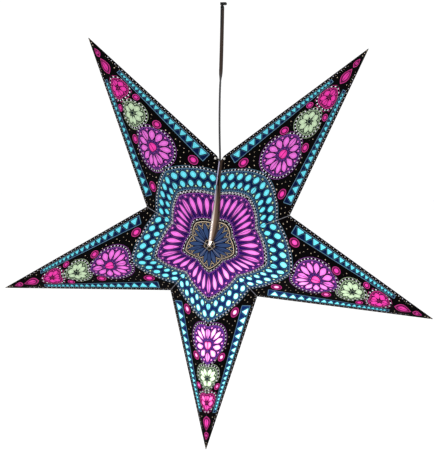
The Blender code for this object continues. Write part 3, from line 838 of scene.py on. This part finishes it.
def flap_paper():
    """Brown paper, pale and lit in a band at the crease. The mesh carries how far each place is from
    the crease, in millimetres, and its share of the way along the seam: painted shade darkens it with both."""
    paper = Finish("flap_paper", roughness=0.8, specular=0.1)
    place = paper.places()
    across, along = paper.parts(paper.read("flap"))[:2]
    fibre = paper.noise(place, 900.0, 6.0, 0.7)
    # painted shade: darker away from the crease and further up the seam
    shade = paper.spread(across, 2.5, 8.0, 1.0, 0.10)
    shade = paper.math("MULTIPLY", shade, paper.spread(along, 0.30, 0.62, 1.0, 0.06))
    painted_shade_grey = paper.node("ShaderNodeCombineXYZ", {0: shade, 1: shade, 2: shade})
    brown = paper.mix(1.0, paper.mix(fibre, *FLAP_BROWN), painted_shade_grey, "MULTIPLY")
    at_crease = paper.below(across, 1.3, 1.1)
    near = paper.math("MULTIPLY", at_crease, paper.spread(along, 0.62, 0.25, 0.15, 1.0))
    colour = paper.mix(near, brown, FLAP_LIT)
    paper.put("Base Color", colour)
    paper.put("Emission Color", colour)
    paper.put("Emission Strength", paper.spread(near, 0.0, 1.0, 0.06, 0.34))
    paper.bump(fibre, 0.4, 0.0003)
    return paper.material


def closing_flap(name, depth):
    """A thin tongue: the place at share t along the crease and s across is
    crease(t) + s * width(t) * way across + bow * sin(pi s) * outward, less a drop that grows from none
    at the crease to its whole within the fold's width. Its under side is lower by the paper."""
    apex, notch = np.array([0.0, depth, 0.0]), on_middle_plane(NOTCH_R, TIED_SEAM_AT)
    tip = on_middle_plane(TIP_R, FIRST_ARM_AT)
    along = notch - apex
    seam_way = along / np.linalg.norm(along)
    level = (tip - apex) - (tip - apex) @ seam_way * seam_way
    level /= np.linalg.norm(level)
    outward = np.cross(seam_way, level)
    outward *= np.sign(outward @ apex)
    t, s = np.meshgrid(np.linspace(0, 1, FLAP_ROWS), np.linspace(0, 1, FLAP_COLUMNS), indexing="ij")
    share = FLAP_CREASE_SHARES[0] + t * (FLAP_CREASE_SHARES[1] - FLAP_CREASE_SHARES[0])
    width = np.interp(t, *zip(*FLAP_WIDTHS))
    way = level * math.cos(FLAP_DIP) - outward * math.sin(FLAP_DIP)
    # the free edge starts further up and ends further down than the crease
    share = share + s * np.interp(t, (0.0, 1.0), FLAP_END_SLANTS)
    upper = apex + share[..., None] * along + (s * width)[..., None] * way
    drop = FLAP_DROP * np.clip(s * width / FLAP_FOLD, 0.0, 1.0)
    upper = upper + (FLAP_BOW * np.sin(math.pi * s) - drop)[..., None] * outward
    lower = upper - SHEET * outward
    count = t.size
    index = np.arange(count).reshape(t.shape)
    top = np.stack([index[:-1, :-1], index[1:, :-1], index[1:, 1:], index[:-1, 1:]], axis=-1)
    top = top.reshape(-1, 4)
    ring = np.concatenate([index[0, :-1], index[:-1, -1], index[-1, :0:-1], index[:0:-1, 0]])
    rim = np.stack([ring, np.roll(ring, -1), np.roll(ring, -1) + count, ring + count], axis=-1)
    faces = np.vstack([top, rim, top[:, ::-1] + count])
    if np.cross(seam_way, level) @ outward < 0:
        faces = faces[:, ::-1]
    points = in_world(np.vstack([upper.reshape(-1, 3), lower.reshape(-1, 3)]))
    piece = link_mesh(name, points, [faces])
    values = np.stack([MM * s * width, share, 0 * s], axis=-1).reshape(-1, 3)
    carried = piece.data.attributes.new("flap", "FLOAT_VECTOR", "POINT")
    carried.data.foreach_set("vector", np.vstack([values, values]).ravel())
    return piece


flap_finish = flap_paper()
for side, depth in SIDES:
    piece = closing_flap(f"flap_{side}", depth)
    piece.data.materials.append(flap_finish)
    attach(piece, f"closing_flap_{side}")
    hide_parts(f"closing_flap_{side}")


# The ties
# White cotton string that closes the tied seam, knotted outside the paper at each side of the top
# notch. Only the two stop knots show, in the CAD's own shape.

COTTON = ((0.55, 0.52, 0.46), (0.85, 0.83, 0.78))


def cotton():
    """Off-white yarn, whose twist shows as fine slanting bands."""
    string = Finish("cotton_string", roughness=0.85, specular=0.2)
    bands = {"Vector": string.places(), "Scale": 700.0, "Distortion": 2.0}
    twist = string.node("ShaderNodeTexWave", bands, bands_direction="DIAGONAL")
    string.put("Base Color", string.mix(twist, *COTTON))
    string.bump(twist, 0.6, 0.0004)
    return string.material


string = cotton()
for name in ("tie_left", "tie_right"):
    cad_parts[name].material_slots[0].material = string


# The top fitting and the lamp holder
# Moulded black plastic: the bar that is fixed overhead, the clamp on the flex, and inside the star the
# cord grip, cap and body of a small screw lamp holder. Its threaded liner and contact are brass.

PLASTIC_BLACK = ((0.0015, 0.0015, 0.0015), (0.005, 0.005, 0.005))
BRASS = ((0.55, 0.38, 0.16), (0.78, 0.60, 0.28))


def black_plastic():
    """Black plastic, satin, with faint scuffs that are a little duller."""
    plastic = Finish("black_plastic", roughness=0.42, specular=0.12)
    place = plastic.places()
    scuff = plastic.noise(place, 300.0, 5.0)
    plastic.put("Base Color", plastic.mix(scuff, *PLASTIC_BLACK))
    plastic.put("Roughness", plastic.spread(scuff, 0.3, 0.7, 0.34, 0.52))
    plastic.bump(plastic.noise(place, 2200.0), 0.12, 0.0002)
    return plastic.material


def metal(name, tones, roughness):
    """Bare metal between two tones, duller where it is rubbed."""
    finish = Finish(name, roughness, metallic=1.0)
    rub = finish.noise(finish.places(), 500.0, 4.0)
    finish.put("Base Color", finish.mix(rub, *tones))
    finish.put("Roughness", finish.spread(rub, 0.3, 0.7, roughness - 0.06, roughness + 0.14))
    return finish.material


plastic = black_plastic()
for name in ("ceiling_bar", "cord_clamp", "cord_grip", "holder_cap", "holder_body"):
    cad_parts[name].material_slots[0].material = plastic
brass = metal("brass", BRASS, roughness=0.32)
for name in ("screw_liner", "centre_contact"):
    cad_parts[name].material_slots[0].material = brass


# The bulb
# A nickelled screw base, rolled from sheet, and an opal glass globe cemented into it. It is lit and
# screws into the holder's liner.

NICKEL = ((0.50, 0.48, 0.44), (0.74, 0.72, 0.68))
OPAL, OPAL_LIGHT = ((0.90, 0.88, 0.84), (0.97, 0.95, 0.92)), ((1.0, 0.80, 0.58), (1.0, 0.88, 0.70))
LAMP_GLOW = 8.0


def lit_opal():
    """Milky glass that glows warm and a little unevenly."""
    glass = Finish("opal_glass", roughness=0.2)
    cloud = glass.noise(glass.places(), 60.0, 2.0)
    glass.put("Base Color", glass.mix(cloud, *OPAL))
    glass.put("Emission Color", glass.mix(cloud, *OPAL_LIGHT))
    glass.shader.inputs["Emission Strength"].default_value = LAMP_GLOW
    return glass.material


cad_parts["bulb_base"].material_slots[0].material = metal("nickelled_base", NICKEL, roughness=0.30)
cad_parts["bulb_glass"].material_slots[0].material = lit_opal()


# The studio
# A plain pale floor some way under the star, even white light all round, and two large soft lamps
# in front: a key to the left above, and a fill to the right.

FLOOR_Z = -0.86
FLOOR_HALF = 6
FLOOR_TONES = ((0.95, 0.95, 0.95), (0.98, 0.98, 0.98))
SKY_STRENGTH = 1.06
LAMP_AIM = (0.0, 0.0, -0.3)
KEY_PLACE, KEY_SIZE, KEY_POWER = (-1.1, -1.5, 0.7), 1.2, 14.0
FILL_PLACE, FILL_SIZE, FILL_POWER = (1.4, -1.2, 0.2), 1.4, 7.0

floor_corners = [(x * FLOOR_HALF, y * FLOOR_HALF, FLOOR_Z) for x, y in ((-1, -1), (1, -1), (1, 1), (-1, 1))]
floor = link_mesh("floor", floor_corners, [[(0, 1, 2, 3)]])
pale = Finish("pale_floor", roughness=0.9, specular=0.1)
pale.put("Base Color", pale.mix(pale.noise(pale.places(), 2.0), *FLOOR_TONES))
floor.data.materials.append(pale.material)

world = bpy.data.worlds.new("studio")
world.use_nodes = True
background = world.node_tree.nodes["Background"]
background.inputs["Color"].default_value = (1.0, 1.0, 1.0, 1.0)
background.inputs["Strength"].default_value = SKY_STRENGTH
bpy.context.scene.world = world


def soft_lamp(name, place, size, power):
    """A square lamp that points at the star."""
    lamp = bpy.data.lights.new(name, "AREA")
    lamp.size = size
    lamp.energy = power
    obj = bpy.data.objects.new(name, lamp)
    way = Vector(LAMP_AIM) - Vector(place)
    obj.matrix_world = Matrix.LocRotScale(place, way.to_track_quat("-Z", "Y"), None)
    bpy.context.collection.objects.link(obj)


soft_lamp("key_lamp", KEY_PLACE, KEY_SIZE, KEY_POWER)
soft_lamp("fill_lamp", FILL_PLACE, FILL_SIZE, FILL_POWER)
